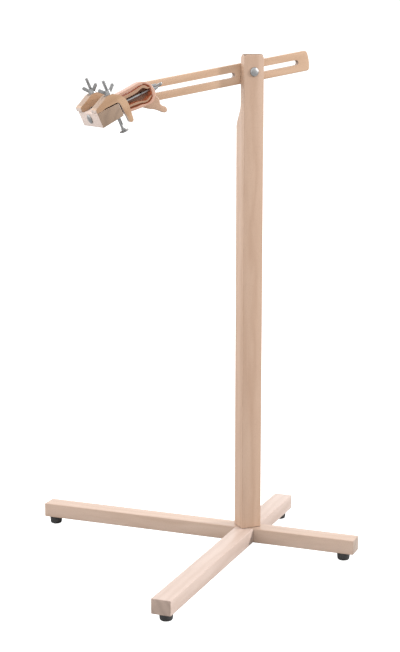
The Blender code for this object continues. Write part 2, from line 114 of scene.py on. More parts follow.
# ---- camera, set to the photograph's viewing angle ------------------------------------
camera = bpy.data.objects.new("camera", bpy.data.cameras.new("camera"))
bpy.context.scene.collection.objects.link(camera)
camera.data.sensor_width = 36.0
camera.data.lens = 82.16
camera.location = (tilt_pos.x - 1.159, -2.4495, 0.9291)
camera.rotation_mode = "QUATERNION"
camera.rotation_quaternion = Vector((0.3908, 0.9023, -0.1822)).to_track_quat("-Z", "Y")
bpy.context.scene.camera = camera


# ---- material building ----------------------------------------------------------------
class Graph:
    """A short way to write node trees. Sockets are given by name or index."""

    def __init__(self, name):
        self.mat = bpy.data.materials.new(name)
        self.mat.use_nodes = True
        self.tree = self.mat.node_tree
        self.shader = self.tree.nodes["Principled BSDF"]

    def node(self, kind, settings=None, **inputs):
        new = self.tree.nodes.new(kind)
        for key, value in (settings or {}).items():
            setattr(new, key, value)
        for key, value in inputs.items():
            self.put(new.inputs[key.replace("_", " ")], value)
        return new

    def put(self, socket, value):
        if isinstance(value, bpy.types.NodeSocket):
            self.tree.links.new(value, socket)
        elif isinstance(value, bpy.types.Node):
            self.tree.links.new(value.outputs[0], socket)
        else:
            socket.default_value = value

    def math(self, how, a, b=0.0, clamp=False):
        new = self.node("ShaderNodeMath", {"operation": how, "use_clamp": clamp})
        self.put(new.inputs[0], a)
        self.put(new.inputs[1], b)
        return new

    def noise(self, vector, scale, detail=3.0, rough=0.55, distort=0.0):
        return self.node("ShaderNodeTexNoise", Vector=vector, Scale=scale, Detail=detail,
                         Roughness=rough, Distortion=distort)

    def stretch(self, vector, scale, shift=(0, 0, 0)):
        return self.node("ShaderNodeMapping", Vector=vector, Scale=scale, Location=shift)

    def ramp(self, value, *stops):
        """A grey ramp between two stops, each a place and a brightness."""
        new = self.node("ShaderNodeValToRGB", Fac=value)
        for element, (spot, grey) in zip(new.color_ramp.elements, stops):
            element.position = spot
            element.color = (grey, grey, grey, 1)
        return new

    def mix(self, how, fac, a, b):
        new = self.node("ShaderNodeMix", {"data_type": "RGBA", "blend_type": how})
        self.put(new.inputs[0], fac)
        self.put(new.inputs[6], a)
        self.put(new.inputs[7], b)
        return new.outputs[2]

    def bump(self, height, strength, distance):
        return self.node("ShaderNodeBump", Strength=strength, Distance=distance, Height=height)


WOOD_ROUGH, ZINC_ROUGH, RUBBER_ROUGH = 0.32, 0.30, 0.52     # the smoothest that each of them gets


def wood(name, pale, dark, seed, ends=None, figure=1.0, glow=0.0):
    """Steamed beech: long soft figure, growth lines, fine dark flecks, darker end grain.

    It reads two attributes that finish_piece stores: "grain", a place along and across the
    fibres in metres, and "end", how squarely a face cuts them. ends is the colour of end grain.
    glow stands for light that seeps through thin wood into a narrow cut.
    """
    g = Graph(name)
    grain = g.node("ShaderNodeAttribute", {"attribute_name": "grain"})
    local = g.stretch(grain.outputs["Vector"], (1, 1, 1), (seed * 0.37, seed * 0.11, seed * 0.23))
    # broad drift of colour along a board
    drift = g.noise(g.stretch(local, (5, 42, 42)), 1.0, 3.0, 0.5, 0.4)
    # growth lines: bands across the board, pulled long and waved a little
    wave = g.noise(g.stretch(local, (7, 30, 30)), 1.0, 2.0)
    lines = g.node("ShaderNodeSeparateXYZ", Vector=g.stretch(local, (0, 330, 210)))
    phase = g.math("ADD", g.math("ADD", lines.outputs[1], lines.outputs[2]), g.math("MULTIPLY", wave, 9.0))
    rings = g.math("MULTIPLY", g.math("ADD", g.math("SINE", phase), 1.0), 0.5)
    rings = g.math("POWER", rings, 2.2)
    fibres = g.noise(g.stretch(local, (60, 1700, 1700)), 1.0, 2.0, 0.6)
    # flecks: thin dashes, 1 to 4 mm long
    cells = g.noise(g.stretch(local, (330, 2600, 2600)), 1.0, 1.0, 0.4)
    flecks = g.ramp(cells, (0.60, 0.0), (0.70, 1.0))
    tone = g.mix("MIX", g.ramp(drift, (0.30, 0.0), (0.72, 1.0)), (*pale, 1), (*dark, 1))
    deep = tuple(c * k for c, k in zip(dark, (0.80, 0.74, 0.68)))
    tone = g.mix("MIX", g.math("MULTIPLY", rings, 0.30 * figure), tone, (*deep, 1))
    tone = g.mix("MIX", g.math("MULTIPLY", flecks, 0.30), tone, (*tuple(c * 0.62 for c in dark), 1))
    streak = g.math("ADD", g.math("MULTIPLY", fibres, 0.16), 0.92)
    tone = g.mix("MULTIPLY", 1.0, tone, streak.outputs[0])
    # end grain: darker, fine dots and faint arcs
    across = g.node("ShaderNodeAttribute", {"attribute_name": "end"})
    cut = g.ramp(across.outputs["Fac"], (0.45, 0.0), (0.70, 1.0))
    pores = g.node("ShaderNodeTexVoronoi", Vector=g.stretch(local, (1, 1500, 1500)), Scale=1.0)
    dots = g.ramp(pores.outputs["Distance"], (0.10, 0.74), (0.42, 1.0))
    shade = ends or tuple(c * k for c, k in zip(dark, (0.72, 0.69, 0.67)))
    end_tone = g.mix("MULTIPLY", 1.0, g.mix("MIX", rings, (*shade, 1), (*tuple(c * 0.86 for c in shade), 1)),
                     dots.outputs[0])
    tone = g.mix("MIX", cut.outputs[0], tone, end_tone)
    g.put(g.shader.inputs["Base Color"], tone)
    g.put(g.shader.inputs["Emission Color"], tone)
    g.shader.inputs["Emission Strength"].default_value = glow
    rough = g.math("ADD", g.math("MULTIPLY", fibres, 0.16), WOOD_ROUGH)
    g.put(g.shader.inputs["Roughness"], rough)
    height = g.math("ADD", g.math("MULTIPLY", fibres, 0.6), g.math("MULTIPLY", flecks, -0.5))
    g.put(g.shader.inputs["Normal"], g.bump(height, 0.22, 0.0002))
    return g.mat


def steel(name, tint, seed):
    """Zinc plating: faintly cloudy, with fine pits and wear."""
    g = Graph(name)
    place = g.node("ShaderNodeTexCoord")
    local = g.stretch(place.outputs["Object"], (1, 1, 1), (seed, seed * 0.5, 0))
    cloud = g.noise(local, 240.0, 4.0, 0.6)
    grit = g.noise(local, 2400.0, 2.0, 0.5)
    worn = tuple(c * 0.72 for c in tint)
    tone = g.mix("MIX", g.ramp(cloud, (0.32, 0.0), (0.68, 1.0)), (*tint, 1), (*worn, 1))
    g.put(g.shader.inputs["Base Color"], tone)
    g.shader.inputs["Metallic"].default_value = 1.0
    g.put(g.shader.inputs["Roughness"], g.math("ADD", g.math("MULTIPLY", cloud, 0.26), ZINC_ROUGH))
    g.put(g.shader.inputs["Normal"], g.bump(grit, 0.12, 0.00008))
    return g.mat


def rubber(name):
    """Moulded black rubber, matt, with dust-grey mottling."""
    g = Graph(name)
    place = g.node("ShaderNodeTexCoord")
    skin = g.noise(place.outputs["Object"], 900.0, 3.0, 0.6)
    dust = g.noise(place.outputs["Object"], 120.0, 3.0, 0.6)
    tone = g.mix("MIX", g.ramp(dust, (0.35, 0.0), (0.75, 1.0)), (0.018, 0.018, 0.019, 1),
                 (0.040, 0.039, 0.038, 1))
    g.put(g.shader.inputs["Base Color"], tone)
    g.put(g.shader.inputs["Roughness"], g.math("ADD", g.math("MULTIPLY", skin, 0.2), RUBBER_ROUGH))
    g.put(g.shader.inputs["Normal"], g.bump(skin, 0.3, 0.0002))
    return g.mat


POST_WOOD = wood("beech_post", (0.46, 0.32, 0.235), (0.41, 0.27, 0.19), 1, ends=(0.20, 0.135, 0.095))
LEFT_WOOD = wood("beech_beam_left", (0.47, 0.35, 0.28), (0.42, 0.30, 0.23), 2, ends=(0.33, 0.25, 0.20))
FRONT_WOOD = wood("beech_beam_front", (0.47, 0.37, 0.32), (0.42, 0.32, 0.27), 3, ends=(0.33, 0.245, 0.20))
ARM_WOOD = wood("beech_arm", (0.52, 0.35, 0.24), (0.45, 0.29, 0.185), 4)
BLOCK_WOOD = wood("beech_block", (0.62, 0.505, 0.45), (0.55, 0.435, 0.38), 5, ends=(0.27, 0.185, 0.13))
# the jaws' end grain is given paler than their side grain: a painted highlight on the toes' front faces,
# which turn towards the light
JAW_WOOD = wood("beech_jaw", (0.43, 0.275, 0.17), (0.37, 0.22, 0.125), 6, ends=(0.55, 0.44, 0.38), figure=1.5)
# painted shade: a darker copy of the jaw's wood for the upward-facing crowns of the jaws
CROWN_PAINTED_SHADE = wood("beech_jaw_crown_painted_shade", (0.30, 0.185, 0.11), (0.25, 0.145, 0.08), 10, figure=1.5)
LOOP_WOOD = wood("beech_loop", (0.48, 0.285, 0.21), (0.42, 0.24, 0.17), 7, figure=0.7)
STRIP_WOOD = wood("beech_strip", (0.37, 0.225, 0.145), (0.31, 0.18, 0.11), 11, figure=0.7)
PLATE_WOOD = wood("beech_plate", (0.47, 0.31, 0.215), (0.41, 0.26, 0.175), 8)
# painted shade and painted light: the walls of the narrow cuts between the loop and its strips get a dark
# red-brown for the shadow inside the gap, and a faint glow for light seeping through
KERF_SHADE_AND_GLOW = wood("kerf_painted_shade_and_glow", (0.34, 0.10, 0.045), (0.24, 0.065, 0.03), 9, figure=0.4, glow=0.45)
ZINC = steel("zinc_bright", (0.42, 0.43, 0.43), 1)
ZINC_DULL = steel("zinc_dull", (0.37, 0.37, 0.37), 2)
RUBBER = rubber("rubber_black")


# ---- mesh building --------------------------------------------------------------------
def prism(outline, low, high, axis="Y"):
    """Extrude an outline. For axis Y it is (x, z); for X it is (y, z); for Z it is (x, y)."""
    place = {"Y": lambda p, d: (p[0], d, p[1]),
             "X": lambda p, d: (d, p[0], p[1]),
             "Z": lambda p, d: (p[0], p[1], d)}[axis]
    bm = bmesh.new()
    face = bm.faces.new([bm.verts.new(place(p, low)) for p in outline])
    grown = bmesh.ops.extrude_face_region(bm, geom=[face])
    moved = [v for v in grown["geom"] if isinstance(v, bmesh.types.BMVert)]
    bmesh.ops.translate(bm, vec=Vector(place((0, 0), high - low)), verts=moved)
    return bm


def turned(profile, steps=48):
    """Spin a profile of (radius, height) about Z. A radius of 0 closes it on the axis."""
    bm = bmesh.new()
    verts = [bm.verts.new((r, 0, z)) for r, z in profile]
    edges = [bm.edges.new(pair) for pair in zip(verts, verts[1:])]
    if profile[0][0] > 0 and profile[-1][0] > 0:
        edges.append(bm.edges.new((verts[-1], verts[0])))
    bmesh.ops.spin(bm, geom=verts + edges, cent=(0, 0, 0), axis=(0, 0, 1),
                   angle=math.tau, steps=steps, use_merge=True)
    bmesh.ops.remove_doubles(bm, verts=bm.verts, dist=1e-4)
    return bm


def thread(low, high, crest=2.98, root=2.46, pitch=1.0, around=24, per_turn=6):
    """A threaded rod on Z: the radius rises and falls along a helix and fades out at both ends."""
    bm = bmesh.new()
    rows = max(2, int((high - low) / pitch * per_turn))
    rings = []
    for i in range(rows + 1):
        z = low + (high - low) * i / rows
        fade = min(1.0, min(z - low, high - z) / 1.2)
        ring = []
        for k in range(around):
            turn_share = (z / pitch - k / around) % 1.0
            tooth = 1 - abs(2 * turn_share - 1)
            r = root + (crest - root) * (tooth * fade)
            spot = math.tau * k / around
            ring.append(bm.verts.new((r * math.cos(spot), r * math.sin(spot), z)))
        rings.append(ring)
    for a, b in zip(rings, rings[1:]):
        for k in range(around):
            bm.faces.new((a[k], a[(k + 1) % around], b[(k + 1) % around], b[k]))
    for ring, z in ((rings[0], low), (rings[-1], high)):
        middle = bm.verts.new((0, 0, z))
        for k in range(around):
            bm.faces.new((ring[k], ring[(k + 1) % around], middle))
    return bm


def arc(cx, cy, radius, start, end, count):
    return [(cx + radius * math.cos(math.radians(start + (end - start) * i / count)),
             cy + radius * math.sin(math.radians(start + (end - start) * i / count)))
            for i in range(count + 1)]


def rounded(points, radius, count=8):
    """Round every corner of a closed polygon."""
    out = []
    for before, here, after in zip(points[-1:] + points[:-1], points, points[1:] + points[:1]):
        a, b, c = Vector(before), Vector(here), Vector(after)
        p, q = b + (a - b).normalized() * radius, b + (c - b).normalized() * radius
        for i in range(count + 1):
            t = i / count
            out.append(tuple(p * (1 - t) ** 2 + b * 2 * t * (1 - t) + q * t ** 2))
    return out


def flowing(points, per_span=6, closed=False):
    """A smooth run through points (Catmull-Rom)."""
    pts = [Vector(p) for p in points]
    n = len(pts)
    out = []
    for i in range(n if closed else n - 1):
        if closed:
            a, b, c, d = (pts[(i + k) % n] for k in (-1, 0, 1, 2))
        else:
            b, c = pts[i], pts[i + 1]
            a = pts[i - 1] if i else b * 2 - c
            d = pts[i + 2] if i + 2 < n else c * 2 - b
        for k in range(per_span):
            t = k / per_span
            out.append(tuple(0.5 * (2 * b + (c - a) * t + (2 * a - 5 * b + 4 * c - d) * t ** 2
                                    + (3 * b - a - 3 * c + d) * t ** 3)))
    if not closed:
        out.append(tuple(pts[-1]))
    return out


def link(name, bm, matrix):
    """A bmesh in millimetres becomes an object in a frame."""
    bmesh.ops.scale(bm, vec=(MM, MM, MM), verts=bm.verts)
    bmesh.ops.recalc_face_normals(bm, faces=bm.faces)
    mesh = bpy.data.meshes.new(name)
    bm.to_mesh(mesh)
    bm.free()
    obj = bpy.data.objects.new(name, mesh)
    obj.matrix_world = matrix
    bpy.context.scene.collection.objects.link(obj)
    return obj


def soften(obj, width, segments=3, angle=40):
    mod = obj.modifiers.new("bevel", "BEVEL")
    mod.width, mod.segments = width * MM, segments
    mod.limit_method = "ANGLE"
    mod.angle_limit = math.radians(angle)
    return obj


def carve(obj, tool, how="DIFFERENCE"):
    """Cut or join with a second object, which is used up when the piece is finished."""
    mod = obj.modifiers.new("carve", "BOOLEAN")
    mod.operation, mod.solver, mod.object = how, "EXACT", tool


def bore(obj, frame_of_hole, radius, length, steps=48):
    outline = [(0, 0), (radius, 0), (radius, length), (0, length)]
    carve(obj, link("tool", turned(outline, steps), frame_of_hole))


def straight(x=0.0, y=0.0, z=0.0):
    """Fibres along one direction: gives a point's (along, across, across) and that direction."""
    along = Vector((x, y, z)).normalized()
    side = along.cross(Vector((0, 0, 1)) if abs(along.z) < 0.9 else Vector((1, 0, 0))).normalized()
    other = along.cross(side)
    return lambda co: (Vector((co.dot(along), co.dot(side), co.dot(other))), along)


def bent(outline):
    """Fibres that follow a curve drawn in the XZ plane, in millimetres."""
    points = [Vector((u, 0, w)) * MM for u, w in outline]
    runs, gone = [], 0.0
    for a, b in zip(points, points[1:]):
        runs.append((a, b, gone))
        gone += (b - a).length

    def follow(co):
        flat = Vector((co.x, 0, co.z))

        def nearest(run):
            a, b, start = run
            step = b - a
            share = max(0.0, min(1.0, (flat - a).dot(step) / step.length_squared))
            return (flat - a - step * share).length, start + step.length * share, step
        off, length, step = min((nearest(run) for run in runs), key=lambda found: found[0])
        return Vector((length, off, co.y)), step.normalized()
    return follow


def store_grain(mesh, fibres):
    """Attributes for the wood material, from the piece's own coordinates."""
    grain = mesh.attributes.new("grain", "FLOAT_VECTOR", "POINT")
    for vert in mesh.vertices:
        grain.data[vert.index].vector = fibres(vert.co)[0]
    end = mesh.attributes.new("end", "FLOAT", "FACE")
    for face in mesh.polygons:
        end.data[face.index].value = abs(face.normal.dot(fibres(face.center)[1]))


def finish_piece(obj, mat, body, slot, *nodes, smooth=32, fibres=None, lining=None):
    """Apply the modifiers, drop the tools, shade, attach the piece to its body and hide the CAD nodes it
    replaces.

    nodes are the CAD nodes that the piece stands in for. fibres is needed for wood only.
    lining is a second material and a test on a face that picks where it goes.
    """
    tools = [m.object for m in obj.modifiers if m.type == "BOOLEAN"]
    bpy.context.view_layer.update()
    mesh = bpy.data.meshes.new_from_object(obj.evaluated_get(bpy.context.evaluated_depsgraph_get()))
    mesh.name = obj.name
    obj.modifiers.clear()
    obj.data = mesh
    for tool in tools:
        bpy.data.objects.remove(tool)
    mesh.materials.clear()
    mesh.materials.append(mat)
    for face in mesh.polygons:
        face.material_index = 0
    if fibres:
        store_grain(mesh, fibres)
    if lining:
        mesh.materials.append(lining[0])
        for face in mesh.polygons:
            face.material_index = int(lining[1](face))
    mesh.transform(obj.matrix_world)
    obj.matrix_world = Matrix.Identity(4)
    mesh.shade_smooth()
    mesh.set_sharp_from_angle(angle=math.radians(smooth))
    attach(obj, body)
    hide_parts(*nodes)


# ---- hardware -------------------------------------------------------------------------
# carriage bolt: head radius, height of its straight rim and of the dome above it, shank radius
HEAD_R, HEAD_RIM, DOME, SHANK_R = 8.25, 0.7, 2.9, 2.9
WIDE_WASHER_R = 9.0                       # washers of the post's bolt and the head's pivot bolt
# wing nut ears: degrees off the axis, half their width, half their thickness
EAR_LEAN, EAR_HALF, EAR_SIDE = 45.0, 3.1, 1.4
LONG_EAR = 17.0                           # reach of the two bigger wing nuts behind the arm


def carriage_bolt(name, place, head_face, tip, body, node, threaded, mat=ZINC, neck=0.0):
    """Domed head, plain shank, rolled thread.

    The head's flat face is at head_face, the tip at tip, and the thread starts at threaded.
    """
    dome = [(HEAD_R * math.cos(math.radians(a)), head_face + HEAD_RIM + DOME * math.sin(math.radians(a)))
            for a in range(0, 90, 9)]
    profile = [(0, threaded - 0.6), (2.5, threaded - 0.6), (SHANK_R, threaded + 0.6), (SHANK_R, head_face),
               (HEAD_R - 0.35, head_face), (HEAD_R, head_face + 0.3)]
    profile += dome + [(0, head_face + HEAD_RIM + DOME)]
    bolt = link(name, turned(profile), place)
    carve(bolt, link("tool", thread(tip, threaded), place), "UNION")
    if neck:
        side = rounded([(-BOLT_R, -BOLT_R), (BOLT_R, -BOLT_R), (BOLT_R, BOLT_R), (-BOLT_R, BOLT_R)], 0.5, 3)
        carve(bolt, link("tool", prism(side, head_face - neck, head_face + 1, "Z"), place), "UNION")
    finish_piece(bolt, mat, body, "zinc_steel", node)


def washer(name, place, body, node, outer=8.0, hole=3.25):
    ring = [(hole, 0.2), (hole + 0.25, 0), (outer - 0.35, 0), (outer, 0.3), (outer, WASHER_T - 0.3),
            (outer - 0.35, WASHER_T), (hole + 0.25, WASHER_T), (hole, WASHER_T - 0.2)]
    finish_piece(link(name, turned(ring, 64), place), ZINC, body, "zinc_steel", node)


def wing_nut(name, place, body, node, spin, reach=15.0):
    """Forged wing nut: a waisted hub and two thick rounded ears in a V."""
    hub = [(NUT_BORE_R, 0), (6.0, 0), (6.4, 0.5), (6.3, 2.0), (5.5, 4.4), (4.9, 7.6), (4.5, 8.8), (4.0, 9.0),
           (NUT_BORE_R, 9.0)]
    nut = link(name, turned(hub), place)
    lean = math.radians(EAR_LEAN)
    side = Vector((math.sin(lean), math.cos(lean)))
    across = Vector((math.cos(lean), -math.sin(lean)))
    root = Vector((1.2, 2.2))
    tip, waist = root + side * reach, root + side * reach * 0.45
    angle = math.degrees(math.atan2(across.y, across.x))
    for flip in (0, 180):
        right = [tuple(root + across * EAR_HALF), tuple(waist + across * EAR_HALF * 0.92)]
        right += arc(tip.x, tip.y, EAR_HALF, angle, angle + 180, 14)
        right += [tuple(waist - across * EAR_HALF * 0.92), tuple(root - across * EAR_HALF)]
        wing = link("tool", prism([(max(x, 0.4), z) for x, z in right], -EAR_SIDE, EAR_SIDE, "Y"),
                    place @ turn(0, 0, spin + flip))
        soften(wing, 0.6, 3)
        carve(nut, wing, "UNION")
    bore(nut, at(place, (0, 0, -1)), NUT_BORE_R, 12)
    finish_piece(nut, ZINC_DULL, body, "zinc_steel", node, smooth=40)


# ---- base -----------------------------------------------------------------------------
BEAMS = {
    # name: (direction of the long leg, keeps the lap's upper half, {leg: (length, foot inset)}, wood)
    "left": (135.0, True, {"long": (423.0, 17.0), "short": (213.5, 24.0)}, LEFT_WOOD),
    "front": (225.0, False, {"long": (421.0, 24.0), "short": (217.0, 24.0)}, FRONT_WOOD),
}
LAP_Z = FOOT_H + BEAM_H / 2
BEAM_CORNER = 2.5
BOLT_HOLE_R, SINK_R, SINK_DEEP = 4.4, 12.0, 13.0       # the base bolt's hole and its counterbore
INSERT_R, INSERT_DEEP = 6.4, 28.0                      # hole for the insert in the post's foot
PILOT_R = 2.3                                          # foot screw
DOWEL_AT, DOWEL_HOLE_R, DOWEL_FLOOR = 11.0, 4.3, 31.2
for name, (heading, upper, legs, mat) in BEAMS.items():
    along = BASE @ turn(0, 0, heading)
    far_end, near_end = legs["long"][0] - 0.5, 0.5 - legs["short"][0]
    outline = rounded([(near_end, -BEAM_W / 2), (far_end, -BEAM_W / 2), (far_end, BEAM_W / 2),
                       (near_end, BEAM_W / 2)], BEAM_CORNER, 4)
    beam = link("beam_" + name, prism(outline, FOOT_H, BEAM_TOP, "Z"), along)
    soften(beam, 1.5, 4, 50)
    half = BEAM_W / 2 + GAP / 2
    low, high = (FOOT_H - OVERCUT, LAP_Z + GAP / 2) if upper else (LAP_Z - GAP / 2, BEAM_TOP + OVERCUT)
    notch = [(-half, -60), (half, -60), (half, 60), (-half, 60)]
    carve(beam, link("tool", prism(notch, low, high, "Z"), along))
    bore(beam, at(along, (0, 0, FOOT_H - OVERCUT)), BOLT_HOLE_R, THROUGH)
    if not upper:
        bore(beam, at(along, (0, 0, FOOT_H - OVERCUT)), SINK_R, SINK_DEEP)
    for spot, (length, inset) in legs.items():
        place = at(along, ((length - inset) * (1 if spot == "long" else -1), 0, 0))
        bore(beam, at(place, (0, 0, FOOT_H - 4)), PILOT_R, 20)
        label = name + "_" + spot
        foot = [(2.4, FOOT_H - GAP), (2.4, 9.5), (6.2, 9.5), (6.2, 0.5), (6.7, 0), (8.6, 0), (9.8, 0.5),
                (10.7, 1.6), (11.3, 3.4), (11.8, 8.0), (FOOT_R, 13.0), (FOOT_R, FOOT_H - GAP - 0.6),
                (FOOT_R - 0.6, FOOT_H - GAP)]
        finish_piece(link("rubber_foot_" + label, turned(foot, 64), place), RUBBER, "base", "black_rubber",
                     "foot_" + label)
        screw = [(0, 6.4), (2.2, 6.5), (3.4, 6.9), (4.6, 9.0), (4.6, 9.3), (2.0, 9.3), (2.0, 28.0), (0, 31.0)]
        pin = link("screw_" + label, turned(screw), place)
        cross = [(-2.2, -0.45), (2.2, -0.45), (2.2, 0.45), (-2.2, 0.45)]
        for angle in (0, 90):
            carve(pin, link("tool", prism(cross, 5, 8, "Z"), place @ turn(0, 0, angle)))
        finish_piece(pin, ZINC, "base", "zinc_steel", "foot_screw_" + label)
    if upper:
        for sign in (1, -1):
            bore(beam, at(BASE, (sign * DOWEL_AT, 0, DOWEL_FLOOR)), DOWEL_HOLE_R, 30)
    finish_piece(beam, mat, "base", "beech", "base_beam_" + name, fibres=straight(x=1))

# ---- post -----------------------------------------------------------------------------
front, back = -POST_D / 2, POST_D / 2
shoulder = PIVOT_Z - REBATE_STRAIGHT
run = [(THIN_BACK + (back - THIN_BACK) * (3 * t * t - 2 * t ** 3), shoulder - REBATE_CURVE * t)
       for t in [i / 24 for i in range(25)]]
side = [(front, BEAM_TOP + GAP), (front, FLOOR_TO_TOP), (THIN_BACK, FLOOR_TO_TOP)] + run
side += [(back, BEAM_TOP + GAP)]
bm = prism(side, -POST_W / 2, POST_W / 2, "X")
crown = [v for v in bm.verts if abs(v.co.z - FLOOR_TO_TOP) < 1e-3]
bmesh.ops.bevel(bm, geom=crown, offset=CROWN_CLIP, segments=1, affect="VERTICES", profile=0.5)
rim = [e for e in bm.edges if all(abs(v.co.z - FLOOR_TO_TOP) < 1e-3 for v in e.verts)]
bmesh.ops.bevel(bm, geom=rim, offset=CROWN_EDGE, segments=1, affect="EDGES", profile=0.5)
post = soften(link("upright_post", bm, BASE), 1.1, 3, 32)
bore(post, at(BASE, (0, 30, PIVOT_Z), TO_FRONT), BORE_R, THROUGH)
bore(post, at(BASE, (0, 0, BEAM_TOP - OVERCUT)), INSERT_R, INSERT_DEEP)
for sign in (1, -1):
    bore(post, at(BASE, (sign * DOWEL_AT, 0, BEAM_TOP - OVERCUT)), DOWEL_HOLE_R, 21)
finish_piece(post, POST_WOOD, "base", "beech", "post", fibres=straight(z=1))

for node in ("base_bolt", "base_washer", "base_insert"):
    frame["nodes"][node].data.materials.clear()
    frame["nodes"][node].data.materials.append(ZINC)
for label, sign in (("right", 1), ("left", -1)):
    peg = [(0, 31.5), (3.3, 31.5), (4.0, 32.5), (4.0, 57.2), (3.3, 58.2), (0, 58.2)]
    dowel = link("dowel_" + label, turned(peg), at(BASE, (sign * DOWEL_AT, 0, 0)))
    finish_piece(dowel, POST_WOOD, "base", "beech", "base_dowel_" + label, fibres=straight(z=1))

# ---- arm and its bolt -----------------------------------------------------------------
carriage_bolt("arm_bolt", ARM_BOLT @ TO_FRONT, -front + GAP, -34.0, "base", "post_bolt", 2.0, ZINC_DULL)
washer("arm_washer", at(ARM, (0, ARM_Y1 + GAP, 0), TO_BACK), "arm_carrier", "post_washer", WIDE_WASHER_R)
wing_nut("arm_wing_nut", at(ARM_BOLT, (0, ARM_Y1 + 2 * GAP + WASHER_T, 0), TO_BACK), "post_nut",
         "post_wing_nut", 20, LONG_EAR)
half = ARM_W / 2
tail, side = ARM_RIGHT - TAIL_EASE, half - ARM_CORNER
bar = arc(tail, -side, ARM_CORNER, -90, -14, 8)
bar += arc(ARM_RIGHT - TAIL_INSET - TAIL_R, 0, TAIL_R, -10.5, 10.5, 10)
bar += arc(tail, side, ARM_CORNER, 14, 90, 8)
bar += arc(PIN_AT, 0, half, 90, 270, 40)
arm = soften(link("slotted_arm", prism(bar, ARM_Y0, ARM_Y1), ARM), 1.0, 3)
for start, stop in (FRONT_SLOT, REAR_SLOT):
    slot = arc(stop - SLOT_R, 0, SLOT_R, -90, 90, 24) + arc(start + SLOT_R, 0, SLOT_R, 90, 270, 24)
    carve(arm, link("tool", prism(slot, ARM_Y0 - OVERCUT, ARM_Y1 + OVERCUT), ARM))
finish_piece(arm, ARM_WOOD, "arm", "beech", "arm_bar", fibres=straight(x=1))

# ---- clamp head -----------------------------------------------------------------------
LOOP_NEAR, LOOP_FAR = HEAD_Y - LOOP_HALF, HEAD_Y + LOOP_HALF
BLOCK_NEAR, BLOCK_FAR = HEAD_Y - BLOCK_HALF, HEAD_Y + BLOCK_HALF
BLOCK_FRONT, BLOCK_REAR, BLOCK_TOP = -104.0, -62.5, 16.3
outline = [(BLOCK_FRONT, -9.7), (BLOCK_REAR, -6.0), (BLOCK_REAR, BLOCK_TOP), (BLOCK_FRONT, BLOCK_TOP)]
block = soften(link("clamp_head_block", prism(outline, BLOCK_NEAR, BLOCK_FAR), HEAD), 0.9, 3)
bore(block, at(HEAD, (BLOCK_FRONT - OVERCUT, HEAD_Y, TIE_W), TO_RIGHT), BORE_R, THROUGH)
JAWS = {
    # label: (its two side faces, how far its crown is moved along and up, its bolt's place along
    #         the head, its bolt's head and tip, the turn of its wing nut)
    "near": (BLOCK_NEAR, BLOCK_NEAR + JAW_WIDE, 0.0, 0.0, -68.5, -31.0, 59.6, -5.0),
    "far": (BLOCK_FAR - JAW_WIDE, BLOCK_FAR, -1.5, 2.0, -71.5, -21.0, 64.0, -45.0),
}
JAW_BORE_R, JAW_SEAT, BOLT_NECK = 3.6, 31.6, 4.0
JAW_WASHER_R, JAW_SINK_R, TIE_SINK_R = 8.5, 9.4, 9.6
FINGER_END, FINGER_END_R = (-53.4, -17.6), 4.2
TOE = -101.0                              # the flat end of a jaw lies beyond this


def is_crown(face):
    """A jaw's curved back, from its toe to its finger, takes a darker, browner copy of the jaw's wood:
    painted shade on faces that turn up to the light.
    """
    return abs(face.normal.y) < 0.4 and face.normal.z > 0.2 and face.center.x > TOE * MM


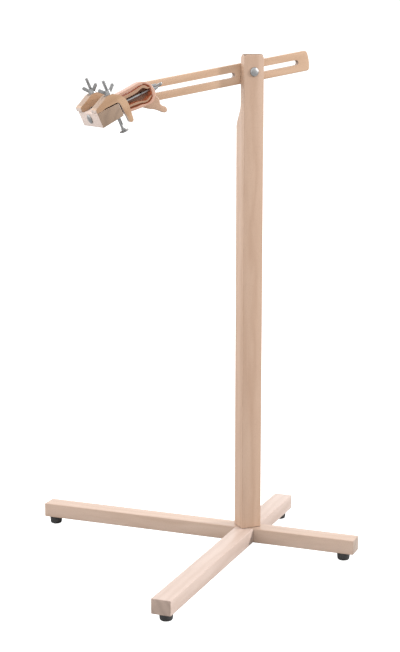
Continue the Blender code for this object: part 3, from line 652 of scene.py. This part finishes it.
for label, (y0, y1, shift, rise, bolt_u, bolt_head, bolt_tip, spin) in JAWS.items():
    mid = (y0 + y1) / 2
    bore(block, at(HEAD, (bolt_u, mid, -20)), JAW_BORE_R, THROUGH)
    over = [(-104.0, 22.4), (-101.0, 24.3), (-94.0, 27.2), (-86.1, 30.9), (-80.5, 33.6), (-75.2, 35.0),
            (-70.5, 35.2), (-65.6, 34.3), (-58.0, 30.2), (-50.6, 22.6), (-47.3, 13.2), (-46.8, 4.6),
            (-48.0, -7.6), (-49.2, -17.4)]
    finger = arc(*FINGER_END, FINGER_END_R, 0, -170, 16)
    inner = [(-58.0, -8.0), (-59.2, 0.0), (-59.8, 8.6), (-60.7, 14.0), (-62.0, 17.0), (-65.0, 18.5)]
    # the underside rests on the block at the toe and bridges it behind
    under = [(-76.0, 18.6), (-88.0, 18.3), (-94.0, BLOCK_TOP + GAP), (-103.4, BLOCK_TOP + GAP)]
    raised = [(u + shift, w + rise) for u, w in flowing(over, 5)[:-1] + finger + flowing(inner, 5)]
    jaw = link("clamp_jaw_" + label, prism(raised + under + [(-104.3 + shift, 18.0)], y0, y1), HEAD)
    # the finger narrows below the block, from the side that faces the loop
    wedge = [(y0 + FINGER_WIDE, -40), (y0 + FINGER_WIDE, -8), (y0 + FINGER_WIDE + 2, -1), (y1 - 5, 10),
             (y1 + 5, 13), (y1 + 5, -40)]
    if label == "far":
        wedge = [(y0 + y1 - y, w) for y, w in wedge]
    carve(jaw, link("tool", prism(wedge, -64.5, -40, "X"), at(HEAD, (0, 0, rise))))
    soften(jaw, 1.2, 3, 50)
    bore(jaw, at(HEAD, (bolt_u, mid, 0)), JAW_BORE_R, THROUGH)
    seat = JAW_SEAT + rise
    bore(jaw, at(HEAD, (bolt_u, mid, seat)), JAW_SINK_R, 20, 64)
    body = label + "_jaw"
    finish_piece(jaw, JAW_WOOD, body, "beech", "jaw_" + label, smooth=28, fibres=straight(x=1, z=0.25),
                 lining=(CROWN_PAINTED_SHADE, is_crown))
    carriage_bolt("jaw_bolt_" + label, at(HEAD, (bolt_u, mid, 0), DOWN), -bolt_head, -bolt_tip, body,
                  "clamp_bolt_" + label, 4.0, ZINC_DULL, BOLT_NECK)
    washer("jaw_washer_" + label, at(HEAD, (bolt_u, mid, seat + GAP)), body, "clamp_washer_" + label,
           JAW_WASHER_R)
    wing_nut("jaw_wing_nut_" + label, at(HEAD, (bolt_u, mid, seat + 2 * GAP + WASHER_T)),
             label + "_nut", "clamp_wing_nut_" + label, spin)
finish_piece(block, BLOCK_WOOD, "head", "beech", "clamp_block", fibres=straight(y=1))


def on(outline):
    """A test for faces that lie along an outline in the XZ plane."""
    follow = bent(outline)
    return lambda face: abs(face.normal.y) < 0.3 and follow(face.center)[0].y < 0.25 * MM


SEAT = BLOCK_REAR + GAP
outer = flowing([(SEAT, 18.8), (-54.0, 21.2), (-43.7, 23.2), (-23.0, 24.0), (-10.0, 24.9), (-2.5, 25.2),
                 (6.7, 23.2), (14.1, 17.5), (17.2, 11.6), (18.7, 3.0), (17.4, -4.6), (13.8, -10.2),
                 (8.3, -14.4), (1.4, -15.9), (-13.2, -15.1), (-27.8, -13.8), (-36.0, -12.6),
                 (-48.0, -10.8), (SEAT, -8.4)], 6)
hollow = flowing([(SEAT, -4.2), (-46.0, -6.9), (-33.5, -8.7), (-22.7, -9.7), (-12.9, -10.2), (-7.3, -11.6),
                  (-1.5, -12.4), (4.2, -11.2), (8.6, -8.3), (11.0, -5.6), (11.6, -2.6), (12.5, 1.6),
                  (13.2, 6.6), (13.5, 10.6), (12.2, 13.8), (9.8, 16.4), (5.9, 19.9), (1.5, 21.4),
                  (-3.6, 21.2), (-20.7, 19.2), (-37.6, 18.9), (-46.0, 17.8), (SEAT, 13.6)], 6)
loop = soften(link("spring_loop", prism(outer + hollow, LOOP_NEAR, LOOP_FAR), HEAD), 0.6, 3)
NUT_SEAT = 17.6
bore(loop, at(HEAD, (8, HEAD_Y, TIE_W), TO_RIGHT), BORE_R, 20)
bore(loop, at(HEAD, (NUT_SEAT, HEAD_Y, TIE_W), TO_RIGHT), TIE_SINK_R, 10, 64)
# the loop's faces along its hollow take the cut's painted shade and glow
finish_piece(loop, LOOP_WOOD, "head", "beech", "outer_loop", fibres=bent(outer), lining=(KERF_SHADE_AND_GLOW, on(hollow)))

upper = flowing([(SEAT, 12.0), (-46.0, 15.2), (-37.6, 16.5), (-20.7, 16.8), (-3.6, 18.8), (1.5, 18.9),
                 (5.3, 17.3), (8.0, 13.9), (9.6, 12.0), (12.6, 11.3)], 6)
upper += flowing([(12.9, 10.2), (10.9, 9.5), (7.7, 9.5), (4.4, 11.6), (1.2, 14.1), (-3.0, 14.5),
                  (-7.9, 13.3), (-13.6, 11.8), (-23.8, 11.2), (-33.2, 10.9), (-46.0, 10.2), (SEAT, 8.9)], 6)
lower = flowing([(SEAT, 1.0), (-45.0, -0.6), (-31.6, -1.8), (-20.1, -2.5), (-11.0, -4.4), (-5.8, -6.5),
                 (-0.8, -6.8), (3.9, -4.9), (7.8, -3.2), (10.2, -3.0)], 6)
lower += flowing([(10.3, -4.2), (7.2, -6.0), (2.9, -8.6), (-2.1, -9.8), (-6.9, -9.2), (-12.4, -7.5),
                  (-21.8, -6.3), (-32.6, -5.4), (-46.0, -4.0), (SEAT, -2.2)], 6)
for label, shape in (("upper", upper), ("lower", lower)):
    strip = soften(link("spring_strip_" + label, prism(shape, LOOP_NEAR, LOOP_FAR), HEAD), 0.5, 3)
    # each strip's faces towards the loop take the cut's painted shade and glow
    finish_piece(strip, STRIP_WOOD, "head", "beech", "inner_strip_" + label, fibres=bent(outer),
                 lining=(KERF_SHADE_AND_GLOW, on(shape[:len(shape) // 2 + 1])))

carriage_bolt("tie_rod", at(HEAD, (0, HEAD_Y, TIE_W), TO_LEFT), -BLOCK_FRONT + GAP, -37.6, "head", "tie_bolt",
              -14.0, ZINC_DULL)
washer("tie_rod_washer", at(HEAD, (NUT_SEAT + GAP, HEAD_Y, TIE_W), TO_RIGHT), "head", "tie_washer")
wing_nut("tie_rod_wing_nut", at(HEAD, (NUT_SEAT + 2 * GAP + WASHER_T, HEAD_Y, TIE_W), TO_RIGHT), "tie_nut",
         "tie_wing_nut", 75)

PLATE_NEAR = LOOP_FAR + GAP
PLATE_FAR = PLATE_NEAR + PLATE_T
plate = [(-4.2, -20.6), (5.0, -27.6), (14.2, -33.0), (20.7, -38.6), (25.0, -43.2), (29.6, -45.2),
         (33.8, -42.4), (33.6, -36.8), (28.6, -32.0), (26.4, -27.0), (27.6, -19.6), (25.4, -12.3),
         (22.6, -4.0), (21.6, 4.0), (17.0, 12.0), (8.0, 17.0), (-10.0, 16.5), (-30.0, 14.0),
         (-49.0, 9.5), (-52.0, 0.0), (-49.0, -8.0), (-30.0, -11.0), (-13.0, -13.5)]
pivot_plate = soften(link("thumb_plate", prism(flowing(plate, 6, True), PLATE_NEAR, PLATE_FAR), HEAD), 1.2, 3)
finish_piece(pivot_plate, PLATE_WOOD, "head", "beech", "pivot_block", fibres=straight(x=1, z=-1.1))
# the spacer's counterbore takes the head of the pivot bolt
RECESS, RECESS_R, SPACER_H = 4.3, 9.0, ARM_Y0 - 2 * GAP - PLATE_FAR
drum = [(BORE_R, RECESS), (RECESS_R, RECESS), (RECESS_R, 0), (SPACER_R - 0.8, 0), (SPACER_R - 0.2, 0.2),
        (SPACER_R, 0.8), (SPACER_R, SPACER_H - 0.8), (SPACER_R - 0.2, SPACER_H - 0.2),
        (SPACER_R - 0.8, SPACER_H), (BORE_R, SPACER_H)]
finish_piece(link("round_spacer", turned(drum, 96), at(HEAD, (PIN_U, PLATE_FAR + GAP, PIN_W), TO_BACK)),
             PLATE_WOOD, "head", "beech", "pivot_spacer", fibres=straight(z=1))
carriage_bolt("head_bolt", at(HEAD, (PIN_U, 0, PIN_W), TO_FRONT), -(PLATE_FAR + RECESS), -31.0, "head",
              "pivot_bolt", 2.0)
washer("head_washer", at(HEAD, (PIN_U, ARM_Y1 + GAP, PIN_W), TO_BACK), "head_carrier", "pivot_washer",
       WIDE_WASHER_R)
wing_nut("head_wing_nut", at(HEAD, (PIN_U, ARM_Y1 + 2 * GAP + WASHER_T, PIN_W), TO_BACK), "pivot_nut",
         "pivot_wing_nut", 63, LONG_EAR)

# ---- studio ---------------------------------------------------------------------------
FLOOR_HALF, FLOOR_DROP = 14.0, 0.0002     # metres
bm = bmesh.new()
bmesh.ops.create_grid(bm, x_segments=8, y_segments=8, size=FLOOR_HALF)
mesh = bpy.data.meshes.new("studio_floor")
bm.to_mesh(mesh)
bm.free()
floor = bpy.data.objects.new("studio_floor", mesh)
bpy.context.scene.collection.objects.link(floor)
floor.location.z = -FLOOR_DROP
# grey to the light, so that little bounces up, and plain white to the camera
sheet = Graph("studio_white")
sheet.shader.inputs["Base Color"].default_value = (0.42, 0.42, 0.42, 1)
sheet.shader.inputs["Roughness"].default_value = 0.9
sheet.shader.inputs["Specular IOR Level"].default_value = 0.0
sheet.shader.inputs["Emission Color"].default_value = (1, 1, 1, 1)
seen = sheet.node("ShaderNodeLightPath").outputs["Is Camera Ray"]
sheet.put(sheet.shader.inputs["Emission Strength"], seen)
mesh.materials.append(sheet.mat)


def studio_world(low, left, rear, front, right, top):
    """A white sky: brighter or darker towards each side, and never below plain white to the camera."""
    world = bpy.data.worlds.new("studio")
    bpy.context.scene.world = world
    world.use_nodes = True
    tree = world.node_tree

    def calc(how, a, b, clamp=False):
        node = tree.nodes.new("ShaderNodeMath")
        node.operation, node.use_clamp = how, clamp
        for socket, value in zip(node.inputs, (a, b)):
            if isinstance(value, float):
                socket.default_value = value
            else:
                tree.links.new(value, socket)
        return node.outputs[0]

    place = tree.nodes.new("ShaderNodeTexCoord")
    split = tree.nodes.new("ShaderNodeSeparateXYZ")
    tree.links.new(place.outputs["Generated"], split.inputs[0])
    glow = low
    walls = ((0, -1.0, left), (1, 1.0, rear), (1, -1.0, front), (0, 1.0, right), (2, 1.0, top))
    for axis, sign, amount in walls:
        share = calc("MULTIPLY", split.outputs[axis], sign, True)
        glow = calc("ADD", calc("MULTIPLY", share, amount), glow)
    seen = tree.nodes.new("ShaderNodeLightPath").outputs["Is Camera Ray"]
    strength = calc("MAXIMUM", glow, seen)
    tree.links.new(strength, tree.nodes["Background"].inputs["Strength"])
    tree.nodes["Background"].inputs["Color"].default_value = (1, 1, 1, 1)


def sun(name, toward, strength, size):
    """A distant lamp. toward is the direction to it, size its angle in degrees."""
    lamp = bpy.data.lights.new(name, "SUN")
    lamp.energy, lamp.angle = strength, math.radians(size)
    obj = bpy.data.objects.new(name, lamp)
    obj.rotation_mode = "QUATERNION"
    obj.rotation_quaternion = Vector(toward).to_track_quat("Z", "Y")
    bpy.context.scene.collection.objects.link(obj)


def compass(right_of_front, above):
    """A direction: degrees from the front (-Y) towards the right (+X), and degrees up."""
    a, e = math.radians(right_of_front), math.radians(above)
    return (math.cos(e) * math.sin(a), -math.cos(e) * math.cos(a), math.sin(e))


studio_world(low=0.34, left=1.38, rear=1.1, front=0.50, right=0.0, top=0.82)
sun("key_right", compass(69, 20), 3.4, 5)
sun("rim_left", compass(-125, 35), 0.6, 8)
bpy.context.scene.view_settings.view_transform = "Standard"
